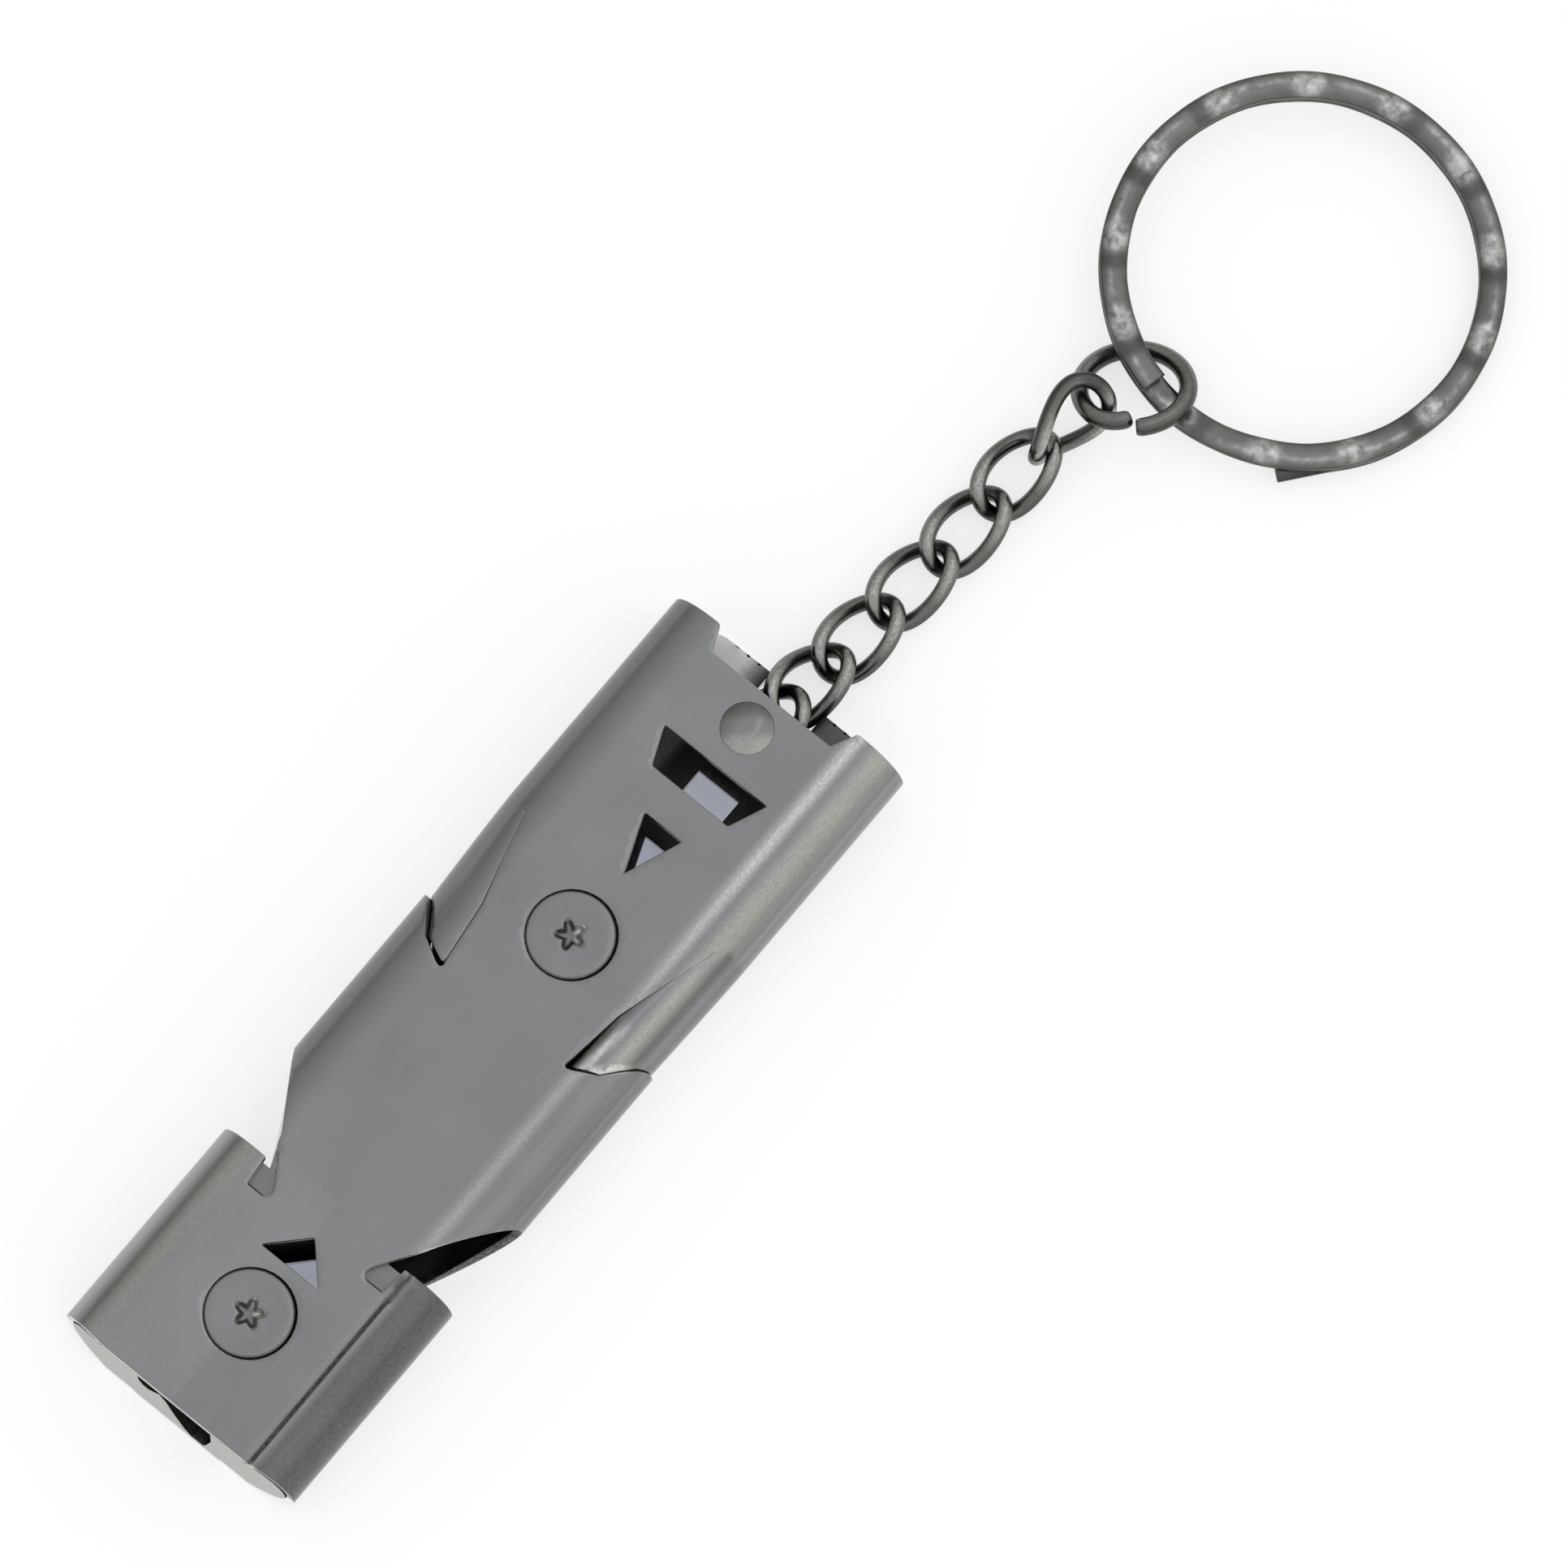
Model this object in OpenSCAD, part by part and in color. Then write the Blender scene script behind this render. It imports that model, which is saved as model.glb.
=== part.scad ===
// Flat steel survival whistle with a curb chain, a jump ring and a key ring.
// Lengths are millimetres. +X runs from the mouth to the chain, +Y to the
// left of that, +Z up. The origin is the centre of the tube's flat underside.

/* [Tube] */
// Length of the flattened tube along its round sides
body_len = 58; // [52:0.5:64]
// Width across the two round sides
body_w = 18; // [16:0.5:20]
// Height of the flattened tube
body_t = 7; // [6.5:0.1:8]
// Sheet thickness of the tube
wall = 0.6; // [0.5:0.05:0.7]

/* [Cut-outs] */
// Half width of the triangle beside the mouth screw
tri_mouth_half = 2.25; // [1.8:0.05:2.6]
// Half width of the triangle beside the middle screw
tri_mid_half = 1.46; // [1.1:0.05:1.8]
// Half width of the long edge of the tool slot
slot_half = 4.03; // [3.5:0.05:4.5]
// How far the side tongues are pressed in
press_in = 0.45; // [0.3:0.05:0.6]
// Half width of the chain notch in the bottom sheet
notch_half = 2.1; // [1.9:0.05:2.4]

/* [Screws and rivet] */
// Diameter of the flat screw heads
head_d = 5.5; // [5:0.1:6]
// Thread diameter of the screws
thread_d = 2.5; // [2:0.1:2.8]
// Diameter of the domed rivet head
rivet_head_d = 3.3; // [3:0.1:3.6]
// Diameter of the rivet shank that the chain hangs on
rivet_d = 1.5; // [1.3:0.05:1.6]

/* [Chain and rings] */
// Outside length of one chain link, which sizes the chain and the jump ring
link_len = 6.9; // [6.5:0.05:7.3]
// Outside diameter of the key ring
ring_od = 25.2; // [23:0.1:28]

/* [Hidden] */
$fn = 64;

steel = [0.56, 0.56, 0.57];
dark_steel = [0.36, 0.36, 0.36];
block_grey = [0.72, 0.72, 0.73];

// Plan features keep their share of the tube's length and width
kx = body_len / 58;
ky = body_w / 18;
mouth_x = -body_len / 2;
end_x = body_len / 2;
mid_z = body_t / 2;
side_y = body_w / 2;
// The round sides start here
flat_y = side_y - body_t / 2;

mouth_screw_x = -22.24 * kx;
middle_screw_x = 8.2 * kx;
rivet_x = 24.94 * kx;

// The chain grows with the length of a link
ks = link_len / 6.9;
link_wire = 1 * ks;
link_w = 4.55 * ks;
link_a = (link_len - link_wire) / 2;
link_b = (link_w - link_wire) / 2;
link_c = 0.74 * ks;
link_half = link_c + link_wire / 2;
jump_wire = 1.15 * ks;
jump_r = 3.35 * ks;
ring_wide = 1.75 * ks;
ring_high = 0.75 * ks;
ring_pitch = 0.82 * ks;
ring_r = (ring_od - ring_wide) / 2;

// Small clearances: sliding pieces, the gap round a screw head, running pieces
slide = 0.03;
head_gap = 0.08;
run = 0.04;

// A tube section: a flat middle with two full-round sides
module section(w, t) {
    square([w - t, t], center = true);
    translate([(w - t) / 2, 0]) circle(d = t);
    translate([(t - w) / 2, 0]) circle(d = t);
}

// A bar of that section along X, centred on the tube's middle height
module bar(w, t, x0, x1) {
    translate([x0, 0, mid_z])
        rotate([90, 0, 90])
            linear_extrude(x1 - x0) section(w, t);
}

// A straight-sided cut in plan view between two heights
module plan(points, z0, z1) {
    translate([0, 0, z0]) linear_extrude(z1 - z0) polygon(points);
}

module both_sides() {
    children();
    mirror([0, 1, 0]) children();
}

// Corners of the see-through triangles
tri_mouth = [[-18.53 * kx, tri_mouth_half], [-16.16 * kx, 0], [-18.53 * kx, -tri_mouth_half]];
tri_mid = [[16.95 * kx, tri_mid_half], [13.2 * kx, 0], [16.95 * kx, -tri_mid_half]];

// Sound window: the tube side is open between the jet guide and the lip
window_out = side_y + 1;
module window(lip_x, lip_y, z0, z1) {
    plan([[-16.2 * kx, 4.1 * ky], [-15.6 * kx, lip_y - 0.3], [lip_x, lip_y], [-7.4 * kx, side_y],
        [-5.9 * kx, window_out], [-13.3 * kx, window_out], [-13.5 * kx, side_y],
        [-14.2 * kx, flat_y], [-16.2 * kx, flat_y - 0.2]], z0, z1);
}

// Side tongue that shuts the far end of a sound chamber
tongue_x = 17.4 * kx;
tongue_turn = atan(press_in / (tongue_x - 4.5 * kx));
tongue_drop = 0.25;
module tongue_window() {
    plan([[1.55 * kx, 4.85 * ky], [6.2 * kx, 5.4 * ky], [tongue_x, 8.55 * ky],
        [tongue_x, window_out], [5.9 * kx, window_out], [4.5 * kx, 8.4 * ky],
        [2.6 * kx, 6.95 * ky]], -1, body_t + 1);
}
module tongue() {
    intersection() {
        plan([[1.95 * kx, 5.1 * ky], [6.2 * kx, 5.58 * ky], [tongue_x - 0.8, 8.51 * ky],
            [tongue_x + 0.5, 8.51 * ky], [tongue_x + 0.5, window_out], [6.2 * kx, window_out],
            [4.8 * kx, 8.4 * ky], [2.9 * kx, 6.95 * ky]], -1, body_t + 1);
        translate([tongue_x, side_y - 0.06, 0])
            rotate([0, 0, tongue_turn])
                translate([-tongue_x, -side_y, 0])
                    difference() {
                        bar(body_w, body_t - 2 * tongue_drop, -2, end_x);
                        bar(body_w - 2 * wall, body_t - 2 * tongue_drop - 2 * wall, -3, end_x + 1);
                    }
    }
}

// Countersink for one flat screw head, from the top surface down
cone_h = 0.5 * (head_d - thread_d);
module countersink(x, gap, depth) {
    translate([x, 0, body_t - cone_h])
        cylinder(h = cone_h + 0.001, d1 = thread_d + 2 * gap, d2 = head_d + 2 * gap);
    translate([x, 0, body_t - depth])
        cylinder(h = depth, d = thread_d + 2 * slide);
}

// Plan outline of the tube: the flats reach a little beyond the round sides at both ends
flat_out = 0.45;
module end_trim(tab) {
    plan([[mouth_x - flat_out, 5.6 * ky], [mouth_x - flat_out, -5.6 * ky], [mouth_x, -side_y - 0.1],
        [end_x, -side_y - 0.1], [end_x + tab, -5.4 * ky], [end_x + tab, 5.4 * ky],
        [end_x, side_y + 0.1], [mouth_x, side_y + 0.1]], -1, body_t + 1);
}

// Flattened tube with every opening that is cut in it
module body_sleeve() {
    color(steel)
    difference() {
        union() {
            difference() {
                intersection() {
                    bar(body_w, body_t, mouth_x - 1, end_x + 1);
                    end_trim(0.8);
                }
                bar(body_w - 2 * wall, body_t - 2 * wall, mouth_x - 2, end_x + 2);
                both_sides() {
                    window(-15 * kx, 4 * ky, mid_z, body_t + 1);
                    window(-13.9 * kx, 5.3 * ky, -1, mid_z);
                    translate([-15.7 * kx, 4.25 * ky, mid_z]) cylinder(h = body_t, r = 0.5);
                    tongue_window();
                }
            }
            both_sides() tongue();
        }
        countersink(mouth_screw_x, head_gap, cone_h + 0.4);
        countersink(middle_screw_x, head_gap, cone_h + 0.4);
        plan(tri_mouth, -1, body_t + 1);
        plan(tri_mid, -1, body_t + 1);
        plan([[21.95 * kx, slot_half], [21.95 * kx, -slot_half],
            [19.47 * kx, -0.74 * slot_half], [19.47 * kx, 0.74 * slot_half]], mid_z, body_t + 1);
        plan([[22.2 * kx, 1.57 * ky], [22.2 * kx, -1.57 * ky],
            [19.6 * kx, -1.57 * ky], [19.6 * kx, 1.57 * ky]], -1, mid_z);
        translate([rivet_x, 0, -1]) cylinder(h = body_t + 2, d = rivet_d + 2 * slide);
        translate([rivet_x, 0, -0.001])
            cylinder(h = wall / 2, d1 = rivet_d + wall + 2 * slide, d2 = rivet_d + 2 * slide);
        // The top sheet is set back so that the chain can swing up
        plan([[end_x + 2, 5.6 * ky], [end_x - 0.1, 5.4 * ky], [27.3 * kx, 4.6 * ky],
            [27.3 * kx, -4.6 * ky], [end_x - 0.1, -5.4 * ky], [end_x + 2, -5.6 * ky]],
            mid_z, body_t + 1);
        plan([[end_x + 2, side_y + 1], [end_x - 0.05, side_y + 1], [end_x - 0.05, -side_y - 1],
            [end_x + 2, -side_y - 1]], mid_z, body_t + 1);
        plan([[end_x + 1, notch_half], [26.7 * kx, notch_half], [26.7 * kx, -notch_half],
            [end_x + 1, -notch_half]], -1, mid_z);
    }
}

// Mouthpiece block: it takes the breath in at the front and leads it to both sides
inlet_half = 2.85 * ky;
module mouth_block() {
    w_in = body_w - 2 * wall - 2 * slide;
    t_in = body_t - 2 * wall - 2 * slide;
    floor_z = body_t - wall;
    color(block_grey)
    difference() {
        intersection() {
            bar(w_in, t_in, mouth_x - 1, -14.5 * kx);
            end_trim(0);
        }
        // Between the two jet guides the block ends at the triangle
        translate([-15.6 * kx, -3.2 * ky, -1]) cube([3, 6.4 * ky, body_t + 2]);
        // Breath inlet with a curved floor
        translate([mouth_x - 1, 0, 0])
            rotate([90, 0, 90])
                linear_extrude(3.6 * kx + 1)
                    polygon([[inlet_half, floor_z], [inlet_half, 0.78 * body_t], [2.5 * ky, 0.69 * body_t],
                        [2.1 * ky, 0.68 * body_t], [1.6 * ky, 0.77 * body_t], [1.15 * ky, 0.86 * body_t],
                        [0.65 * ky, 0.74 * body_t], [0.07 * ky, 0.46 * body_t], [-0.65 * ky, 0.2 * body_t],
                        [-1.3 * ky, 0.07 * body_t], [-2 * ky, 0.07 * body_t], [-2.4 * ky, 0.27 * body_t],
                        [-inlet_half, 0.6 * body_t], [-inlet_half, floor_z]]);
        // Cross passage behind the inlet
        translate([-27.3 * kx, -body_w / 2, 0.3 * body_t]) cube([1.9 * kx, body_w, 0.42 * body_t]);
        // Windways along the round sides
        both_sides() translate([-27.3 * kx, 6.1 * ky, 0.25 * body_t])
            cube([13 * kx, body_w, 0.5 * body_t]);
        countersink(mouth_screw_x, head_gap, 5.3);
        plan(tri_mouth, -1, body_t + 1);
    }
}

// Stop block in the middle that ends the two sound chambers
module chamber_block() {
    wing_t = body_t - 2 * wall - 1.3;
    color(block_grey)
    difference() {
        union() {
            translate([2.4 * kx, -4.7 * ky, wall + slide])
                cube([10 * kx, 9.4 * ky, body_t - 2 * wall - 2 * slide]);
            bar(body_w - 2 * wall - 2 * press_in - 0.9, wing_t, 6.4 * kx, 12.4 * kx);
        }
        countersink(middle_screw_x, head_gap, 5.3);
    }
}

// Flat-headed screw with a five-lobed recess
module screw(x) {
    difference() {
        union() {
            translate([x, 0, body_t - cone_h]) cylinder(h = cone_h, d1 = thread_d, d2 = head_d);
            translate([x, 0, body_t - 5]) cylinder(h = 5.001 - cone_h, d = thread_d);
        }
        translate([x, 0, body_t - 0.8]) linear_extrude(1) {
            circle(r = 0.62);
            for (i = [0 : 4]) rotate(72 * i + 20) translate([0.7, 0]) circle(r = 0.33);
        }
    }
}
module mouth_screw() color(steel) screw(mouth_screw_x);
module middle_screw() color(steel) screw(middle_screw_x);

// Domed rivet through both sheets, flush below
dome_h = rivet_head_d / 6;
dome_r = (rivet_head_d * rivet_head_d / 4 + dome_h * dome_h) / (2 * dome_h);
module chain_rivet() {
    color(steel)
    translate([rivet_x, 0, 0]) {
        intersection() {
            translate([0, 0, body_t + dome_h - dome_r]) sphere(r = dome_r);
            translate([0, 0, body_t + 0.01]) cylinder(h = 3, d = rivet_head_d + 1);
        }
        translate([0, 0, wall / 2]) cylinder(h = body_t - wall / 2 + 0.1, d = rivet_d);
        translate([0, 0, 0.02])
            cylinder(h = wall / 2, d1 = rivet_d + wall - 0.04, d2 = rivet_d - 0.02);
    }
}

// Sweep a closed outline along a path of points and frames
function unit(v) = v / norm(v);
function at(p, n, b, s) = p + n * s[0] + b * s[1];
module sweep(path, shape, closed) {
    n = len(path);
    m = len(shape);
    last = n - 1;
    tangents = [for (i = [0 : last]) unit(
        closed ? path[(i + 1) % n] - path[(i + last) % n]
            : path[min(i + 1, last)] - path[max(i - 1, 0)])];
    sides = [for (t = tangents) unit(cross([0, 0, 1], t))];
    points = [for (i = [0 : last]) for (s = shape)
        at(path[i], sides[i], cross(tangents[i], sides[i]), s)];
    steps = closed ? n : last;
    quads = [for (i = [0 : steps - 1]) for (j = [0 : m - 1])
        [i * m + j, ((i + 1) % n) * m + j, ((i + 1) % n) * m + (j + 1) % m, i * m + (j + 1) % m]];
    caps = closed ? [] : [[for (j = [0 : m - 1]) j], [for (j = [m - 1 : -1 : 0]) last * m + j]];
    polyhedron(points, concat(quads, caps), convexity = 8);
}
function round_wire(d, m = 10) = [for (j = [0 : m - 1]) d / 2 * [cos(360 * j / m), sin(360 * j / m)]];

// One twisted link of the curb chain, along X and centred
link_steps = 44;
module link() {
    sweep([for (i = [0 : link_steps - 1]) let (t = 360 * i / link_steps)
        [link_a * cos(t), link_b * sin(t), -link_c * sin(2 * t)]], round_wire(link_wire), true);
}

// Places along the chain, counted from the rivet in link sizes
function run_x(k) = rivet_x + k * ks;
module place(k, y, z, turn) {
    translate([run_x(k), y * ks, z]) rotate(turn) link();
}
module chain_link_1() color(dark_steel)
    translate([rivet_x - rivet_d / 2 - 2 * run + link_len / 2 - link_wire, -0.05, wall + link_half + 0.01])
        rotate([0, 0, -2]) link();
module chain_link_2() color(dark_steel) place(5.565, -0.25, link_half + 0.405 * ks, [-0.5, 10.6, -3.6]);
module chain_link_3() color(dark_steel) place(9.86, -0.67, link_half, [0, 0, -5]);
module chain_link_4() color(dark_steel) place(14.56, -1.08, link_half, [0, 0, -5]);
module chain_link_5() color(dark_steel) place(19.26, -1.46, link_half, [0, 0, -3]);
module chain_link_6() color(dark_steel) place(23.982, -1.61, 1.479 * ks, [0.157, -2.864, -2.715]);
module chain_link_7() color(dark_steel) place(28.29, -2.153, 2.483 * ks, [53.321, -15.577, -3.864]);

// Open jump ring: one end is sprung inwards at the gap
jump_steps = 46;
module jump_ring() {
    gap = 8;
    turn = 360 - gap;
    path = [for (i = [0 : jump_steps])
        let (s = i / jump_steps, t = -146.5 + gap / 2 + turn * s,
            near = max(0, (s - 0.86) / 0.14), r = jump_r - 0.8 * ks * near * near)
        [r * cos(t), r * sin(t), 0]];
    color(dark_steel)
    translate([run_x(32.561), -3.894 * ks, 2.248 * ks])
        rotate([-20.473, 22.257, 0])
            sweep(path, round_wire(jump_wire), false);
}

// Key ring: flat wire wound in two turns, with a step where the layers change
ring_steps = 96;
module split_ring() {
    // The wire beside the jump ring stays put when the ring's size changes
    away = ring_r + 1.13 * ks;
    tilt = asin(1.81 * ks / ring_od);
    cut = 0.16 * ks;
    u = ring_wide / 2;
    v = ring_high / 2;
    shape = [[u, -v + cut], [u, v - cut], [u - cut, v], [-u + cut, v],
        [-u, v - cut], [-u, -v + cut], [-u + cut, -v], [u - cut, -v]];
    path = [for (i = [0 : ring_steps])
        let (t = 167.5 - 676 * i / ring_steps, s = min(1, max(0, (-148.5 - t) / 44)),
            fall = s * s * (3 - 2 * s), splay = max(0, (-490 - t) / 18.5),
            r = ring_r + 0.7 * ks * splay * splay)
        [r * cos(t), r * sin(t), v + ring_pitch * (1 - fall)]];
    color(dark_steel)
    translate([run_x(32.561) + away * cos(14.38), -3.894 * ks - away * sin(14.38), 0.93 * ks])
        rotate([tilt, 0.358, 0])
            sweep(path, shape, false);
}

body_sleeve();
mouth_block();
chamber_block();
mouth_screw();
middle_screw();
chain_rivet();
chain_link_1();
chain_link_2();
chain_link_3();
chain_link_4();
chain_link_5();
chain_link_6();
chain_link_7();
jump_ring();
split_ring();
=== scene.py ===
import math

import bpy
import bmesh
import numpy as np
from mathutils import Matrix, Vector, geometry


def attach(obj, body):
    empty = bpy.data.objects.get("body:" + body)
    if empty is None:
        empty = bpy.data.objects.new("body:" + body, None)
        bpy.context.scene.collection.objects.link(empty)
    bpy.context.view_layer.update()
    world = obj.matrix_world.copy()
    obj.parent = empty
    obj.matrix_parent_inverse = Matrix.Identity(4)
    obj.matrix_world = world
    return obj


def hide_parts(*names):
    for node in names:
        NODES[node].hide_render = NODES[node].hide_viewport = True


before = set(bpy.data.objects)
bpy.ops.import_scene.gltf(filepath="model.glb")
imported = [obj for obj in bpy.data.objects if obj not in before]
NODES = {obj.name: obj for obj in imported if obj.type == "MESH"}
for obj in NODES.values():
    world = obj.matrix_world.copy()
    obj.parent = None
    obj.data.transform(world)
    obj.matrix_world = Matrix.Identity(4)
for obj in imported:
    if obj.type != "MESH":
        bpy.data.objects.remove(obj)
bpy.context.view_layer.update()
MM = 0.001

# Sizes of the CAD source, in millimetres
HALF_LEN = 29.0
FLAT_Y = 5.5
SIDE_R = 3.5
TOP_Z = 7.0
WALL = 0.6
ARC = math.pi * SIDE_R
HALF_ROUND = 2 * FLAT_Y + ARC
SCREW_X = (-22.24, 8.2)
RIVET_X = 24.94

# Holes and lines of the sheet; u is the way round the tube from the middle of the top
SIDE_U = FLAT_Y + ARC / 2
HEAD_HOLE_R = 2.87
RIVET_HOLE_R = 1.06
HINGE_X, TIP_X = 13.4, 1.9
HOOD_X = -13.5
FOLD_U = 5.9

# Directions on the part that point up and right in the main picture
UP = (0.77, 0.64)
RIGHT = (0.64, -0.77)

# Ratings stored on the meshes: outside, then inside and on cut edges. The first of each pair is painted highlight
# and light (partly rubbing on the chain and ring), the second painted shade
OUTSIDE, INSIDE = ("wear_and_sheen", "painted_shade"), ("lit", "inner_shade")
# Near-black colour mixed in for the painted shade
SHADE_TONE = (0.02, 0.021, 0.02)


# Materials

def new_material(name):
    mat = bpy.data.materials.new(name)
    mat.use_nodes = True
    tree = mat.node_tree
    shader = tree.nodes["Principled BSDF"]
    return mat, tree, shader


def add(tree, kind, **values):
    node = tree.nodes.new(kind)
    for key, value in values.items():
        setattr(node, key, value)
    return node


def noise(tree, coords, scale, stretch=(1, 1, 1), detail=3.0, rough=0.55):
    """Noise in millimetre units, stretched along an axis where that number is small."""
    size = add(tree, "ShaderNodeMapping")
    size.inputs["Scale"].default_value = [1000 * scale * s for s in stretch]
    tree.links.new(coords, size.inputs["Vector"])
    tex = add(tree, "ShaderNodeTexNoise")
    tex.inputs["Scale"].default_value = 1.0
    tex.inputs["Detail"].default_value = detail
    tex.inputs["Roughness"].default_value = rough
    tree.links.new(size.outputs["Vector"], tex.inputs["Vector"])
    return tex.outputs["Fac"]


def ramp(tree, fac, stops):
    node = add(tree, "ShaderNodeValToRGB")
    ends = node.color_ramp.elements
    while len(ends) < len(stops):
        ends.new(0.5)
    for e, (pos, col) in zip(ends, stops):
        e.position = pos
        e.color = (*col, 1.0)
    tree.links.new(fac, node.inputs["Fac"])
    return node.outputs["Color"]


def mixed(tree, fac, a, b, mode="MIX"):
    node = add(tree, "ShaderNodeMix", data_type="RGBA", blend_type=mode)
    if isinstance(fac, float):
        node.inputs["Factor"].default_value = fac
    else:
        tree.links.new(fac, node.inputs["Factor"])
    for socket, value in ((node.inputs[6], a), (node.inputs[7], b)):
        if isinstance(value, tuple):
            socket.default_value = (*value, 1.0)
        else:
            tree.links.new(value, socket)
    return node.outputs[2]


def span(tree, fac, low, high, start=0.0, end=1.0):
    node = add(tree, "ShaderNodeMapRange")
    node.inputs["From Min"].default_value = start
    node.inputs["From Max"].default_value = end
    node.inputs["To Min"].default_value = low
    node.inputs["To Max"].default_value = high
    tree.links.new(fac, node.inputs["Value"])
    return node.outputs["Result"]


def bump(tree, shader, height, strength, distance):
    node = add(tree, "ShaderNodeBump")
    node.inputs["Strength"].default_value = strength
    node.inputs["Distance"].default_value = distance
    tree.links.new(height, node.inputs["Height"])
    tree.links.new(node.outputs["Normal"], shader.inputs["Normal"])


def spotted(tree, name, spots, low, high):
    """A rating stored on the mesh, broken up by spots."""
    attr = add(tree, "ShaderNodeAttribute", attribute_name=name)
    return product(tree, attr.outputs["Fac"], span(tree, spots, low, high, 0.32, 0.68))


def product(tree, a, b):
    node = add(tree, "ShaderNodeMath", operation="MULTIPLY", use_clamp=True)
    tree.links.new(a, node.inputs[0])
    tree.links.new(b, node.inputs[1])
    return node.outputs["Value"]


def metal(name, dark, light, rough, grain=(0.12, 1, 1), grain_scale=2.2, bump_height=0.01,
        wear_and_sheen=(0.7, 0.69, 0.67), spots=(5.0, 0.55, 1.2), names=OUTSIDE):
    """Satin metal: cloudy tone and fine grain along X, lightened where the mesh rates rubbing and painted highlight,
    darkened where it rates painted shade.
    """
    mat, tree, shader = new_material(name)
    coords = add(tree, "ShaderNodeTexCoord").outputs["Object"]
    cloud = noise(tree, coords, 0.16, detail=4.0)
    fine = noise(tree, coords, grain_scale, grain, detail=4.0, rough=0.65)
    speck = noise(tree, coords, spots[0], detail=3.0)
    tone = ramp(tree, cloud, [(0.3, dark), (0.7, light)])
    tone = mixed(tree, 0.22, tone, ramp(tree, fine, [(0.3, dark), (0.72, light)]))
    # Mix in the painted highlight colour, then the painted shade colour, as the mesh's ratings say
    tone = mixed(tree, spotted(tree, names[0], speck, spots[1], spots[2]), tone, wear_and_sheen)
    tone = mixed(tree, spotted(tree, names[1], speck, 0.8, 1.1), tone, SHADE_TONE)
    tree.links.new(tone, shader.inputs["Base Color"])
    shader.inputs["Metallic"].default_value = 1.0
    tree.links.new(span(tree, fine, rough[0], rough[1]), shader.inputs["Roughness"])
    both = mixed(tree, 0.5, fine, speck)
    bump(tree, shader, both, 0.25, bump_height * MM)
    return mat


SLEEVE = metal("satin sleeve steel", (0.245, 0.25, 0.255), (0.285, 0.288, 0.29), (0.24, 0.32))
# Inside of the sleeve painted near-black as shade, with painted light where the mesh rates it lit
SLEEVE_IN = metal("inside of the sleeve, painted dark as shade", (0.03, 0.032, 0.03), (0.06, 0.06, 0.057), (0.4, 0.5),
    wear_and_sheen=(0.6, 0.585, 0.605), spots=(3.0, 0.85, 1.1), names=INSIDE)
# Cut edges: light raw metal, made brighter still as a painted highlight, with painted light and shade from the
# inside ratings
SLEEVE_CUT = metal("bright cut edge", (0.5, 0.5, 0.5), (0.7, 0.7, 0.69), (0.3, 0.4), grain=(1, 1, 1),
    wear_and_sheen=(0.95, 0.95, 0.95), names=INSIDE)
SCREW = metal("satin screw steel", (0.24, 0.242, 0.245), (0.285, 0.285, 0.287), (0.24, 0.32), grain=(1, 1, 1))
RIVET = metal("rivet steel", (0.24, 0.24, 0.24), (0.29, 0.29, 0.29), (0.22, 0.32), grain=(1, 1, 1))
# Stop block painted near-black as the shade inside the tube
STOP = metal("stop block, painted dark as shade", (0.05, 0.05, 0.048), (0.08, 0.08, 0.077), (0.4, 0.5), grain=(1, 0.2, 1))
CHAIN = metal("dark chain plating", (0.1, 0.099, 0.093), (0.17, 0.168, 0.16), (0.18, 0.28), grain=(1, 1, 1),
    grain_scale=1.6, bump_height=0.02, wear_and_sheen=(0.55, 0.54, 0.52))
RING = metal("hammered ring plating", (0.13, 0.129, 0.122), (0.23, 0.227, 0.217), (0.22, 0.36), grain=(1, 1, 1),
    grain_scale=1.0, bump_height=0.08, wear_and_sheen=(0.6, 0.585, 0.57), spots=(1.5, 0.0, 1.8))


def block_material():
    """Alloy block: dull grey metal under the sound windows, the rest painted near-black as shade, and the front face
    painted near-white as a blown-out lit face.
    """
    mat, tree, shader = new_material("block alloy, painted lit front and shaded inside")
    where = add(tree, "ShaderNodeTexCoord")
    split = add(tree, "ShaderNodeSeparateXYZ")
    tree.links.new(where.outputs["Object"], split.inputs["Vector"])
    facing = add(tree, "ShaderNodeSeparateXYZ")
    tree.links.new(where.outputs["Normal"], facing.inputs["Vector"])
    fine = noise(tree, where.outputs["Object"], 2.0, (1, 0.2, 1), detail=4.0)
    # Painted shade inside, plain grey metal under the windows, and a painted lit front face
    dark = ramp(tree, fine, [(0.3, (0.02, 0.02, 0.02)), (0.7, (0.035, 0.035, 0.034))])
    grey = ramp(tree, fine, [(0.3, (0.22, 0.222, 0.225)), (0.7, (0.27, 0.27, 0.272))])
    white = ramp(tree, fine, [(0.3, (0.9, 0.9, 0.89)), (0.7, (0.97, 0.97, 0.97))])
    unshaded_part = span(tree, split.outputs["X"], 0.0, 1.0, -16.1 * MM, -16.0 * MM)
    tone = mixed(tree, unshaded_part, dark, grey)
    front = product(tree, span(tree, facing.outputs["X"], 1.0, 0.0, -0.8, -0.6),
        span(tree, split.outputs["X"], 1.0, 0.0, -28.8 * MM, -28.7 * MM))
    tone = mixed(tree, front, tone, white)
    tree.links.new(tone, shader.inputs["Base Color"])
    tree.links.new(unshaded_part, shader.inputs["Metallic"])
    shader.inputs["Specular IOR Level"].default_value = 0.0
    tree.links.new(span(tree, fine, 0.35, 0.5), shader.inputs["Roughness"])
    bump(tree, shader, fine, 0.2, 0.01 * MM)
    return mat


BLOCK = block_material()


# Mesh helpers

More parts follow.
